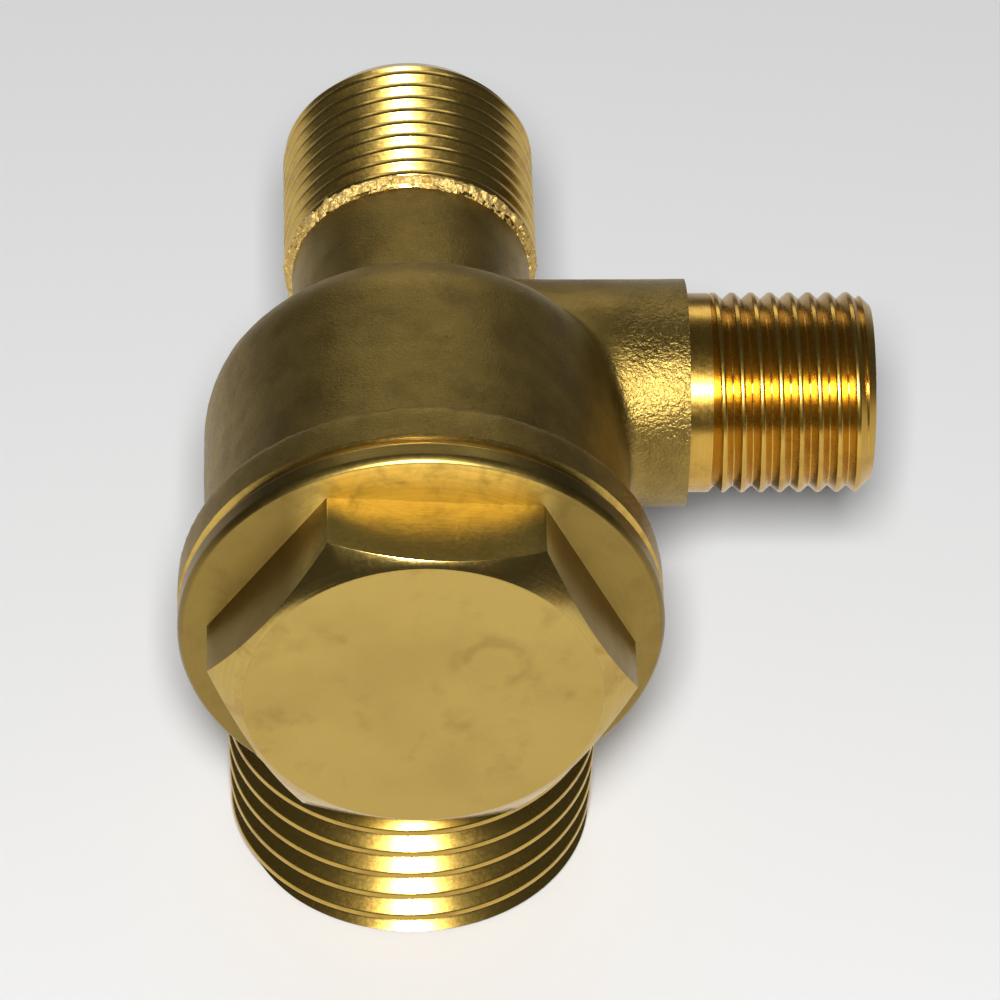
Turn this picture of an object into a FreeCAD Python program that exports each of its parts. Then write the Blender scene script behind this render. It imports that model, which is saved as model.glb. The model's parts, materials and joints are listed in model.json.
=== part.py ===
import FreeCAD, Part
import math
import os

import Sketcher

# Spring-loaded three-port relief valve, modelled as the pieces it comes apart into.
#
# Row frame, in millimetres: the origin is the centre of the tank port's end face, +Z is up,
# the inlet port points along +Y, the side port along +X and the hexagon cap along -Y.
# Every sub-part lies on the main axis, which runs along Y at the height of main_axis_height.
# Most of them are turned pieces: their sketches hold (radius, height) pairs in the local XZ plane,
# and a quarter turn lays the local Z axis along the main axis, pointing out through the cap.

doc = FreeCAD.newDocument("relief_valve")
sheet = doc.addObject("Spreadsheet::Sheet", "sizes")

INCH = 25.4

# Driving dimensions. "reach" is a distance along the main axis from the side port's axis,
# positive towards the cap; "back" is the same, positive towards the inlet.
SIZES = {
    # where the three ports lie
    "main_axis_height": 26.6,
    "tank_port_reach": 6.3,
    # forged barrel
    "barrel_radius": 11.66,
    "shoulder_back": 0.8,
    "shoulder_round": 4.25,
    "neck_radius": 6.7,
    "neck_round": 0.6,
    "collar_radius": 13.1,
    "collar_reach": 14.35,
    "joint_reach": 17.15,
    # inlet port, 9/16-24 male thread
    "inlet_crest_radius": 9 / 16 * INCH / 2,
    "inlet_pitch": INCH / 24,
    "inlet_thread_back": 10.2,
    "inlet_turns": 8,
    "inlet_end_back": 20.9,
    "inlet_tip_radius": 6.1,
    "inlet_bore_radius": 4.25,
    # side port, 7/16-24 male thread
    "side_crest_radius": 7 / 16 * INCH / 2,
    "side_pitch": INCH / 24,
    "side_boss_radius": 6.33,
    "side_boss_length": 15.0,
    "side_thread_start": 16.5,
    "side_turns": 7,
    "side_end_length": 25.3,
    "side_tip_radius": 4.85,
    "side_bore_radius": 2.5,
    # tank port, 1/2-14 male taper pipe thread
    "tank_column_radius": 10.1,
    "tank_crest_radius": 10.645,
    "tank_pitch": INCH / 14,
    "tank_taper": 1 / 32,
    "tank_thread_drop": 14.114,
    "tank_turns": 6,
    "tank_tip_radius": 9.9,
    "tank_bore_radius": 6.0,
    "tank_bore_top_drop": 10.0,
    "passage_radius": 5.0,
    "passage_top_drop": 6.3,
    # chamber inside the barrel
    "seat_bore_radius": 5.5,
    "seat_bore_reach": 2.8,
    "chamber_reach": 4.6,
    "chamber_radius": 8.0,
    "cap_thread_reach": 11.4,
    "cap_shank_reach": 11.6,
    "cap_thread_radius": 9.0,
    "seal_groove_radius": 10.9,
    "seal_groove_reach": 15.4,
    "mouth_radius": 11.2,
    # seat ring
    "seat_inner_radius": 3.9,
    "seat_lip_radius": 4.5,
    "seat_lip_reach": 5.4,
    # poppet and the seal it carries
    "seal_radius": 5.5,
    "seal_thickness": 1.5,
    "poppet_radius": 6.4,
    "poppet_rim": 0.9,
    "poppet_head": 1.9,
    "stem_radius": 1.8,
    "stem_length": 9.0,
    "spring_spigot_radius": 3.0,
    "spring_spigot_height": 1.1,
    "washer_radius": 3.1,
    "washer_thickness": 0.5,
    "screw_radius": 1.25,
    "screw_head_radius": 2.2,
    "screw_head_height": 1.2,
    "screw_length": 4.6,
    "screw_slot_width": 0.6,
    "screw_slot_depth": 0.6,
    # spring and the stack behind it
    "wire_radius": 0.55,
    "coil_radius": 3.9,
    "spring_coils": 5.0,
    "plate_thickness": 0.8,
    "plate_radius": 4.9,
    "plate_bore_radius": 3.1,
    "shim_thickness": 0.3,
    "shim_gap": 0.02,
    "bush_radius": 2.9,
    "bush_flange_radius": 4.9,
    "bush_flange": 0.8,
    "bush_length": 4.4,
    "bush_spigot": 1.2,
    "guide_clearance": 0.05,
    # hexagon cap
    "cap_clearance": 0.07,
    "flange_thickness": 1.5,
    "flange_round": 0.65,
    "hex_across_flats": 20.0,
    "hex_turn_degrees": -3.5,
    "cap_front_reach": 23.3,
    "cap_face_radius": 9.6,
    "hex_bevel_drop": 1.5,
    "cap_relief_radius": 8.2,
    "cap_relief": 1.6,
    "pocket_radius": 5.2,
    "pocket_reach": 20.2,
    # sealing ring under the flange
    "ring_section_radius": 0.8,
    "ring_centre_radius": 9.9,
}

for row, (alias, number) in enumerate(SIZES.items(), start=1):
    sheet.set(f"A{row}", alias)
    sheet.set(f"B{row}", repr(round(number, 6)))
    sheet.setAlias(f"B{row}", alias)
doc.recompute()


class Dim:
    """A length as both the number it comes to and the sheet expression that gives it."""

    def __init__(self, text, value):
        self.text = text
        self.value = value

    def joined(self, sign, other, value):
        return Dim(f"({self.text} {sign} {as_dim(other).text})", value)

    def __add__(self, other):
        return self.joined("+", other, self.value + as_dim(other).value)

    def __sub__(self, other):
        return self.joined("-", other, self.value - as_dim(other).value)

    def __mul__(self, other):
        return self.joined("*", other, self.value * as_dim(other).value)

    def __truediv__(self, other):
        return self.joined("/", other, self.value / as_dim(other).value)

    def __rsub__(self, other):
        return as_dim(other) - self

    def __neg__(self):
        return as_dim(0) - self


def as_dim(number):
    if isinstance(number, Dim):
        return number
    return Dim(f"{number:g}", float(number))


def size(alias):
    return Dim(f"sizes.{alias}", round(SIZES[alias], 6))


# ---------------------------------------------------------------- sketch and body helpers

NODES = []
ORIGIN = -1
START = 1
END = 2
CENTRE_POINT = 3


def new_body(label):
    body = doc.addObject("PartDesign::Body", label)
    body.Label = label
    NODES.append(body)
    return body


def place(item, x=0, y=0, z=0, axis=(1, 0, 0), angle=0):
    item.Placement = FreeCAD.Placement(
        FreeCAD.Vector(0, 0, 0), FreeCAD.Rotation(FreeCAD.Vector(*axis), angle)
    )
    for name, value in (("x", x), ("y", y), ("z", z)):
        item.setExpression(f"Placement.Base.{name}", as_dim(value).text)


def place_turned(item, reach):
    """Lays a turned piece on the main axis, its local zero at this reach and its local Z outward."""
    place(
        item,
        y=size("tank_port_reach") - reach,
        z=size("main_axis_height"),
        axis=(1, 0, 0),
        angle=90,
    )


def new_sketch(body, name, plane):
    sketch = body.newObject("Sketcher::SketchObject", name)
    flat = next(item for item in body.Origin.OriginFeatures if item.Role == plane)
    sketch.AttachmentSupport = [(flat, "")]
    sketch.MapMode = "FlatFace"
    return sketch


def fix_point(sketch, line, point, values):
    """Ties one end of a line to its two coordinates."""
    for kind, value in zip(("DistanceX", "DistanceY"), values):
        index = sketch.addConstraint(
            Sketcher.Constraint(kind, ORIGIN, START, line, point, value.value)
        )
        sketch.setExpression(f"Constraints[{index}]", value.text)


def draw_outline(sketch, points):
    """Draws a closed outline of straight lines through these (across, along) pairs."""
    corners = [(as_dim(across), as_dim(along)) for across, along in points]
    vectors = [FreeCAD.Vector(across.value, along.value, 0) for across, along in corners]
    first = sketch.GeometryCount
    count = len(vectors)
    for index in range(count):
        sketch.addGeometry(Part.LineSegment(vectors[index], vectors[(index + 1) % count]), False)
    for index in range(count):
        following = first + (index + 1) % count
        sketch.addConstraint(Sketcher.Constraint("Coincident", first + index, END, following, START))
        fix_point(sketch, first + index, START, corners[index])


def draw_circle(sketch, radius, across=0, along=0):
    circle = sketch.addGeometry(
        Part.Circle(FreeCAD.Vector(0, 0, 0), FreeCAD.Vector(0, 0, 1), as_dim(radius).value), False
    )
    index = sketch.addConstraint(Sketcher.Constraint("Radius", circle, as_dim(radius).value))
    sketch.setExpression(f"Constraints[{index}]", as_dim(radius).text)
    fix_point(sketch, circle, CENTRE_POINT, (as_dim(across), as_dim(along)))


def turn(body, name, points, plane="XZ_Plane", axis="V_Axis", cut=False):
    """Revolves an outline about one of its sketch's axes, to add or to remove a turned shape."""
    sketch = new_sketch(body, name + "_profile", plane)
    draw_outline(sketch, points)
    kind = "PartDesign::Groove" if cut else "PartDesign::Revolution"
    feature = body.newObject(kind, name)
    feature.Profile = sketch
    feature.ReferenceAxis = (sketch, [axis])
    feature.Angle = 360.0
    doc.recompute()
    return feature


def extrude(body, name, sketch, length, cut=False, flip=False):
    feature = body.newObject("PartDesign::Pocket" if cut else "PartDesign::Pad", name)
    feature.Profile = sketch
    feature.setExpression("Length", as_dim(length).text)
    feature.Reversed = flip
    doc.recompute()
    return feature


def round_edges(body, name, radius, wanted):
    """Rounds every edge of the body's last feature that the wanted test picks."""
    base = body.Tip
    names = [f"Edge{i + 1}" for i, edge in enumerate(base.Shape.Edges) if wanted(edge)]
    if not names:
        raise RuntimeError(f"{name} found no edge to round")
    feature = body.newObject("PartDesign::Fillet", name)
    feature.Base = (base, names)
    feature.setExpression("Radius", as_dim(radius).text)
    doc.recompute()
    return feature


def is_ring(edge, radius, **centre):
    """Tells whether an edge is a circle of this radius with its centre at these coordinates."""
    if not isinstance(edge.Curve, Part.Circle) or abs(edge.Curve.Radius - radius.value) > 1e-3:
        return False
    return all(abs(getattr(edge.Curve.Center, name) - at.value) < 1e-3 for name, at in centre.items())


def thread_outline(start, pitch, turns, radius, taper=0):
    """Gives the (radius, distance) corners of a ring-grooved stand-in for a 60 degree thread.

    Crests and roots are each an eighth of the pitch wide, as on a real thread, and every crest is
    a true cylinder. With a taper, each crest is smaller than the last one.
    """
    depth = pitch * (math.sqrt(3) / 2 * 0.75)
    corners = []
    for count in range(turns):
        crest = radius - pitch * taper * count
        at = start + pitch * count
        corners.append((crest, at))
        corners.append((crest, at + pitch * 0.125))
        corners.append((crest - depth, at + pitch * 0.5))
        corners.append((crest - depth, at + pitch * 0.625))
    last = radius - pitch * taper * turns
    corners.append((last, start + pitch * turns))
    return corners


# ---------------------------------------------------------------- forged body

MAIN_HEIGHT = size("main_axis_height")
TANK_REACH = size("tank_port_reach")


def build_valve_body():
    """The forged body; its local origin is where the main axis and the side port's axis cross."""
    body = new_body("valve_body")
    place(body, y=TANK_REACH, z=MAIN_HEIGHT)

    barrel = size("barrel_radius")
    neck = size("neck_radius")
    collar = size("collar_radius")
    shoulder = size("shoulder_back")
    inlet_end = size("inlet_end_back")
    inlet_start = size("inlet_thread_back")
    inlet_crest = size("inlet_crest_radius")
    inlet_last = inlet_start + size("inlet_pitch") * int(SIZES["inlet_turns"])
    outline = [
        (0, -size("joint_reach")),
        (collar, -size("joint_reach")),
        (collar, -size("collar_reach")),
        (barrel, -size("collar_reach")),
        (barrel, shoulder),
        (neck, shoulder),
        (neck, inlet_start),
    ]
    outline += thread_outline(inlet_start, size("inlet_pitch"), int(SIZES["inlet_turns"]), inlet_crest)
    outline += [
        (inlet_crest, inlet_last + 0.6),
        (size("inlet_tip_radius"), inlet_end),
        (0, inlet_end),
    ]
    turn(body, "barrel", outline, plane="XY_Plane")
    round_edges(
        body, "shoulder_rounding", size("shoulder_round"), lambda edge: is_ring(edge, barrel, y=shoulder)
    )
    round_edges(body, "neck_rounding", size("neck_round"), lambda edge: is_ring(edge, neck, y=shoulder))

    boss_end = size("side_boss_length")
    side_crest = size("side_crest_radius")
    side_start = size("side_thread_start")
    side_last = side_start + size("side_pitch") * int(SIZES["side_turns"])
    thread = thread_outline(side_start, size("side_pitch"), int(SIZES["side_turns"]), side_crest)
    outline = [(0, 0), (0, size("side_boss_radius")), (boss_end, size("side_boss_radius"))]
    outline += [(boss_end, side_crest)]
    outline += [(distance, radius) for radius, distance in thread]
    outline += [
        (side_last + 0.6, side_crest),
        (size("side_end_length"), size("side_tip_radius")),
        (size("side_end_length"), 0),
    ]
    turn(body, "side_branch", outline, plane="XY_Plane", axis="H_Axis")

    tank_start = size("tank_thread_drop")
    tank_turns = int(SIZES["tank_turns"])
    tank_crest = size("tank_crest_radius")
    tank_last = tank_start + size("tank_pitch") * tank_turns
    small_crest = tank_crest - size("tank_pitch") * SIZES["tank_taper"] * tank_turns
    thread = thread_outline(tank_start, size("tank_pitch"), tank_turns, tank_crest, SIZES["tank_taper"])
    column = size("tank_column_radius")
    outline = [(0, 0), (column, 0), (column, -tank_start)]
    outline += [(radius, -distance) for radius, distance in thread]
    outline += [
        (small_crest, -(tank_last + 0.25)),
        (size("tank_tip_radius"), -MAIN_HEIGHT),
        (0, -MAIN_HEIGHT),
    ]
    tank_branch = turn(body, "tank_branch", outline)
    tank_sketch = tank_branch.Profile[0]
    tank_sketch.setExpression("AttachmentOffset.Base.z", TANK_REACH.text)
    doc.recompute()

    outline = [
        (0, inlet_end + 1),
        (size("inlet_bore_radius"), inlet_end + 1),
        (size("inlet_bore_radius"), -size("seat_bore_reach")),
        (size("seat_bore_radius"), -size("seat_bore_reach")),
        (size("seat_bore_radius"), -size("chamber_reach")),
        (size("chamber_radius"), -size("chamber_reach")),
        (size("chamber_radius"), -size("cap_thread_reach")),
        (size("cap_thread_radius"), -size("cap_thread_reach")),
        (size("cap_thread_radius"), -size("seal_groove_reach")),
        (size("seal_groove_radius"), -size("seal_groove_reach")),
        (size("mouth_radius"), -size("joint_reach")),
        (size("mouth_radius"), -(size("joint_reach") + 1)),
        (0, -(size("joint_reach") + 1)),
    ]
    turn(body, "main_bore", outline, plane="XY_Plane", cut=True)

    sketch = new_sketch(body, "side_bore_circle", "YZ_Plane")
    draw_circle(sketch, size("side_bore_radius"))
    extrude(body, "side_bore", sketch, size("side_end_length") + 1, cut=True, flip=True)

    for name in ("tank_bore", "passage"):
        sketch = new_sketch(body, name + "_circle", "XY_Plane")
        sketch.setExpression("AttachmentOffset.Base.z", (-size(name + "_top_drop")).text)
        draw_circle(sketch, size(name + "_radius"), along=-TANK_REACH)
        extrude(body, name, sketch, MAIN_HEIGHT, cut=True)
    return body


# ---------------------------------------------------------------- pieces inside

def build_seat_ring():
    body = new_body("seat_ring")
    depth = size("seat_lip_reach") - size("seat_bore_reach")
    step = size("chamber_reach") - size("seat_bore_reach")
    inner = size("seat_inner_radius")
    lip = size("seat_lip_radius")
    turn(body, "ring", [
        (inner, 0),
        (size("seat_bore_radius"), 0),
        (size("seat_bore_radius"), step),
        (lip + 0.2, step),
        (lip, depth),
        (lip - 0.3, depth),
        (inner, depth - 0.3),
    ])
    place_turned(body, size("seat_bore_reach"))
    return body


def build_seal_disc():
    body = new_body("seal_disc")
    turn(body, "disc", [
        (size("screw_radius"), 0),
        (size("seal_radius"), 0),
        (size("seal_radius"), size("seal_thickness")),
        (size("screw_radius"), size("seal_thickness")),
    ])
    place_turned(body, size("seat_lip_reach"))
    return body


SEAL_BACK = size("seat_lip_reach") + size("seal_thickness")
POPPET_BACK = SEAL_BACK + size("poppet_head")


def build_poppet():
    """The moving disc holder: a shallow cup for the seal, a spigot for the spring and a stem."""
    body = new_body("poppet")
    head = size("poppet_head")
    radius = size("poppet_radius")
    stem = size("stem_radius")
    top = head + size("stem_length")
    spigot = size("spring_spigot_radius")
    rise = head + size("spring_spigot_height")
    turn(body, "cup", [
        (0, 0),
        (size("seal_radius"), 0),
        (size("seal_radius"), -size("poppet_rim")),
        (radius - 0.3, -size("poppet_rim")),
        (radius, 0.3 - size("poppet_rim")),
        (radius, head - 0.4),
        (radius - 0.4, head),
        (spigot, head),
        (spigot, rise - 0.3),
        (spigot - 0.3, rise),
        (stem, rise),
        (stem, top - 0.5),
        (stem - 0.5, top),
        (0, top),
    ])
    sketch = new_sketch(body, "screw_hole_circle", "XY_Plane")
    draw_circle(sketch, size("screw_radius"))
    depth = size("screw_length") - size("seal_thickness") - size("washer_thickness")
    extrude(body, "screw_hole", sketch, depth + 0.3, cut=True, flip=True)
    place_turned(body, SEAL_BACK)
    return body


def build_seal_washer():
    body = new_body("seal_washer")
    turn(body, "washer", [
        (size("screw_radius"), 0),
        (size("washer_radius"), 0),
        (size("washer_radius"), size("washer_thickness")),
        (size("screw_radius"), size("washer_thickness")),
    ])
    place_turned(body, size("seat_lip_reach") - size("washer_thickness"))
    return body


def build_seal_screw():
    body = new_body("seal_screw")
    head = size("screw_head_height")
    turn(body, "screw", [
        (0, -head),
        (size("screw_head_radius") - 0.3, -head),
        (size("screw_head_radius"), 0.3 - head),
        (size("screw_head_radius"), 0),
        (size("screw_radius"), 0),
        (size("screw_radius"), size("screw_length") - 0.4),
        (size("screw_radius") - 0.4, size("screw_length")),
        (0, size("screw_length")),
    ])
    half_width = size("screw_slot_width") / 2
    reach = size("screw_head_radius") + 1
    sketch = new_sketch(body, "slot_outline", "XY_Plane")
    sketch.setExpression("AttachmentOffset.Base.z", (-head).text)
    draw_outline(sketch, [
        (-reach, -half_width), (reach, -half_width), (reach, half_width), (-reach, half_width),
    ])
    extrude(body, "slot", sketch, size("screw_slot_depth"), cut=True, flip=True)
    place_turned(body, size("seat_lip_reach") - size("washer_thickness"))
    return body


STACK_BASE = size("pocket_reach") - size("bush_flange")
SHIM_STACK = (size("shim_thickness") + size("shim_gap")) * 2
PLATE_REACH = STACK_BASE - SHIM_STACK - size("plate_thickness")


def build_spring():
    """A compression spring of one plain helix, its ends ground flat where they bear."""
    length = PLATE_REACH.value - POPPET_BACK.value
    wire = SIZES["wire_radius"]
    centre = SIZES["coil_radius"]
    pitch = length / SIZES["spring_coils"]
    path = Part.Wire(Part.makeHelix(pitch, length, centre).Edges)
    section = Part.Wire(
        Part.makeCircle(wire, FreeCAD.Vector(centre, 0, 0), FreeCAD.Vector(0, 1, 0))
    )
    coil = path.makePipeShell([section], True, True)
    block = Part.makeCylinder(centre + 3 * wire, length)
    spring = doc.addObject("Part::Feature", "spring")
    spring.Label = "spring"
    spring.Shape = Part.Solid(coil).common(block)
    place_turned(spring, POPPET_BACK)
    NODES.append(spring)
    return spring


def build_ring_piece(label, inner, outer, thickness, reach):
    """A flat turned ring on the main axis."""
    body = new_body(label)
    turn(body, "ring", [(inner, 0), (outer, 0), (outer, thickness), (inner, thickness)])
    place_turned(body, reach)
    return body


def build_adjusting_shims():
    """Two thin rings that set the spring's preload, kept as one group of separate solids."""
    thickness = size("shim_thickness")
    rings = []
    for count in range(2):
        outer = doc.addObject("Part::Cylinder", f"shim_outer_{count}")
        inner = doc.addObject("Part::Cylinder", f"shim_inner_{count}")
        start = (thickness + size("shim_gap")) * count
        for item, radius, low, tall in (
            (outer, size("plate_radius"), start, thickness),
            (inner, size("plate_bore_radius"), start - 1, thickness + 2),
        ):
            item.setExpression("Radius", radius.text)
            item.setExpression("Height", tall.text)
            item.setExpression("Placement.Base.z", low.text)
        ring = doc.addObject("Part::Cut", f"shim_{count}")
        ring.Base = outer
        ring.Tool = inner
        rings.append(ring)
    group = doc.addObject("Part::Compound", "adjusting_shims")
    group.Label = "adjusting_shims"
    group.Links = rings
    place_turned(group, STACK_BASE - SHIM_STACK)
    NODES.append(group)
    return group


def build_guide_bush():
    """The low-friction bush that guides the poppet's stem, with a flange under the shims."""
    body = new_body("guide_bush")
    bore = size("stem_radius") + size("guide_clearance")
    flange = size("bush_flange")
    turn(body, "bush", [
        (bore + 0.3, -size("bush_length")),
        (size("bush_radius") - 0.4, -size("bush_length")),
        (size("bush_radius"), 0.8 - size("bush_length")),
        (size("bush_radius"), -flange),
        (size("bush_flange_radius"), -flange),
        (size("bush_flange_radius"), 0),
        (size("bush_radius"), 0),
        (size("bush_radius"), size("bush_spigot")),
        (bore, size("bush_spigot")),
        (bore, 0.3 - size("bush_length")),
    ])
    place_turned(body, size("pocket_reach"))
    return body


def build_hex_cap():
    """The screwed cap; its local zero is the joint face, its local Z points out to the front."""
    body = new_body("hex_cap")
    joint = size("joint_reach")
    front = size("cap_front_reach") - joint
    flange = size("flange_thickness")
    rounding = size("flange_round")
    shank = size("cap_thread_radius") - size("cap_clearance")
    shank_end = size("cap_shank_reach") - joint
    hex_radius = size("hex_across_flats") / math.sqrt(3)
    relief = -size("cap_relief")
    turn(body, "flange", [
        (0, shank_end),
        (shank - 0.6, shank_end),
        (shank, shank_end + 0.6),
        (shank, relief),
        (size("cap_relief_radius"), relief),
        (size("cap_relief_radius"), 0),
        (size("collar_radius"), 0),
        (size("collar_radius"), flange - rounding),
        (size("collar_radius") - rounding, flange),
        (0, flange),
    ])
    sketch = new_sketch(body, "hexagon", "XY_Plane")
    corners = []
    for count in range(6):
        angle = math.radians(60 * count + SIZES["hex_turn_degrees"])
        corners.append((hex_radius * round(math.cos(angle), 9), hex_radius * round(math.sin(angle), 9)))
    draw_outline(sketch, corners)
    extrude(body, "hexagon_head", sketch, front)
    face = size("cap_face_radius")
    turn(body, "corner_bevel", [
        (face, front),
        (hex_radius, front - size("hex_bevel_drop")),
        (hex_radius + 1, front - size("hex_bevel_drop")),
        (hex_radius + 1, front + 1),
        (face, front + 1),
    ], cut=True)
    pocket_end = size("pocket_reach") - joint
    turn(body, "spring_pocket", [
        (0, shank_end - 1),
        (size("pocket_radius"), shank_end - 1),
        (size("pocket_radius"), pocket_end),
        (size("bush_radius"), pocket_end),
        (size("bush_radius"), pocket_end + size("bush_spigot")),
        (0, pocket_end + size("bush_spigot")),
    ], cut=True)
    place_turned(body, joint)
    return body


def build_cap_o_ring():
    ring = doc.addObject("Part::Torus", "cap_o_ring")
    ring.Label = "cap_o_ring"
    ring.setExpression("Radius1", size("ring_centre_radius").text)
    ring.setExpression("Radius2", size("ring_section_radius").text)
    place_turned(ring, size("joint_reach") - size("ring_section_radius") - 0.02)
    NODES.append(ring)
    return ring


def build_all():
    build_valve_body()
    build_seat_ring()
    build_seal_disc()
    build_seal_washer()
    build_seal_screw()
    build_poppet()
    build_spring()
    build_ring_piece(
        "spring_plate",
        size("plate_bore_radius"),
        size("plate_radius"),
        size("plate_thickness"),
        PLATE_REACH,
    )
    build_adjusting_shims()
    build_guide_bush()
    build_hex_cap()
    build_cap_o_ring()


def check_and_write():
    doc.recompute()
    for item in doc.Objects:
        if "Invalid" in item.State or "Error" in item.State:
            raise RuntimeError(f"{item.Label} did not compute: {item.State}")
    os.makedirs("parts", exist_ok=True)
    for node in NODES:
        shape = node.Shape
        if shape.isNull() or not shape.isValid() or not shape.Solids:
            raise RuntimeError(f"{node.Label} has no valid solid")
    for node in NODES:
        node.Shape.exportStep(f"parts/{node.Label}.step")
        box = node.Shape.BoundBox
        print(f"{node.Label:16s} solids {len(node.Shape.Solids)}  volume {node.Shape.Volume:9.2f}  "
              f"x {box.XMin:.2f} {box.XMax:.2f}  y {box.YMin:.2f} {box.YMax:.2f}  "
              f"z {box.ZMin:.2f} {box.ZMax:.2f}")


build_all()
check_and_write()
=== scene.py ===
"""Visual model of a brass three-port relief valve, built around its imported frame."""

import json
import logging
import math
from contextlib import contextmanager
from dataclasses import dataclass, field
from enum import Enum
from typing import Iterable, Iterator, Optional, Sequence

import bpy
from mathutils import Matrix, Vector


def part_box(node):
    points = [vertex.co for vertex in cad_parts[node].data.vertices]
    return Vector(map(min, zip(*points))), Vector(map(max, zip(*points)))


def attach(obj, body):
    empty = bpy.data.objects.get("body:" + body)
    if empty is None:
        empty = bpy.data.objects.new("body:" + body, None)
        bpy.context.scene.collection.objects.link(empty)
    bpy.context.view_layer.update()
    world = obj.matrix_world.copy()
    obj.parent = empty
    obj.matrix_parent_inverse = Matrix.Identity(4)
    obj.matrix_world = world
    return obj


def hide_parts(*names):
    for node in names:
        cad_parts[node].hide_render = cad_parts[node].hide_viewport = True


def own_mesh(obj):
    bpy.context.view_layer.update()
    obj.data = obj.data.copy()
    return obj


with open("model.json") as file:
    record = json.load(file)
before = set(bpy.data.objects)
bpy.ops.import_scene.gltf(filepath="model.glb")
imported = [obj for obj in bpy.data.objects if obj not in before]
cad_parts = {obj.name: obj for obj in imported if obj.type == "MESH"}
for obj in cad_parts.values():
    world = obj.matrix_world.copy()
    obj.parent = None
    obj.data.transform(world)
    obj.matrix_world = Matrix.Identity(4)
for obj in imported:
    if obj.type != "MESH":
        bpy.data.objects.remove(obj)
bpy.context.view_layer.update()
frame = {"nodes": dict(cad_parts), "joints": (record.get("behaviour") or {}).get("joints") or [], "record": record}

log = logging.getLogger("relief_valve")

MM = 0.001
INCH = 25.4 * MM
ROUND = 128
NOTHING = 1e-7
TOUCHING = 1e-6

Point = tuple[float, float]
Colour = tuple[float, float, float]
Piece = bpy.types.Object
Coat = bpy.types.Material


class Along(Enum):
    """The directions that turned pieces lie along, as the turn that takes local +Z there."""

    SIDE = (0.0, math.pi / 2, 0.0)
    INLET = (-math.pi / 2, 0.0, 0.0)
    CAP = (math.pi / 2, 0.0, 0.0)
    TANK = (math.pi, 0.0, 0.0)


class Join(Enum):
    """What a boolean tool does to the piece that it meets."""

    ADD = "UNION"
    CUT = "DIFFERENCE"
    KEEP = "INTERSECT"


# === the frame's own places


@dataclass(frozen=True)
class Layout:
    """Where the valve's axes and faces lie, in metres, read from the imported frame.

    Args:
        main_height: height of the main axis, which runs along Y.
        side_y: where the side port's axis crosses the main axis.
        inlet_end: Y of the inlet port's end face.
        side_end: X of the side port's end face.
        joint_y: Y of the joint face between the body and the cap.
        cap_front: Y of the cap's front face.
    """

    main_height: float
    side_y: float
    inlet_end: float
    side_end: float
    joint_y: float
    cap_front: float

    @classmethod
    def read(cls) -> "Layout":
        """Reads the record's mounts and joints.

        Returns:
            The layout that they give.
        """
        mounts = {mount["name"]: mount["pos_m"] for mount in frame["record"]["mounts"]}
        turn = next(joint for joint in frame["joints"] if joint["name"] == "cap_turn")
        return cls(
            main_height=mounts["inlet_bore"][2],
            side_y=mounts["side_bore"][1],
            inlet_end=mounts["inlet_bore"][1],
            side_end=mounts["side_bore"][0],
            joint_y=turn["pos_m"][1],
            cap_front=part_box("hex_cap")[0][1],
        )

    def on_main(self, y: float) -> Vector:
        """Returns the point of the main axis at this Y."""
        return Vector((0.0, y, self.main_height))


LAYOUT = Layout.read()


# === bench work with operators


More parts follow.
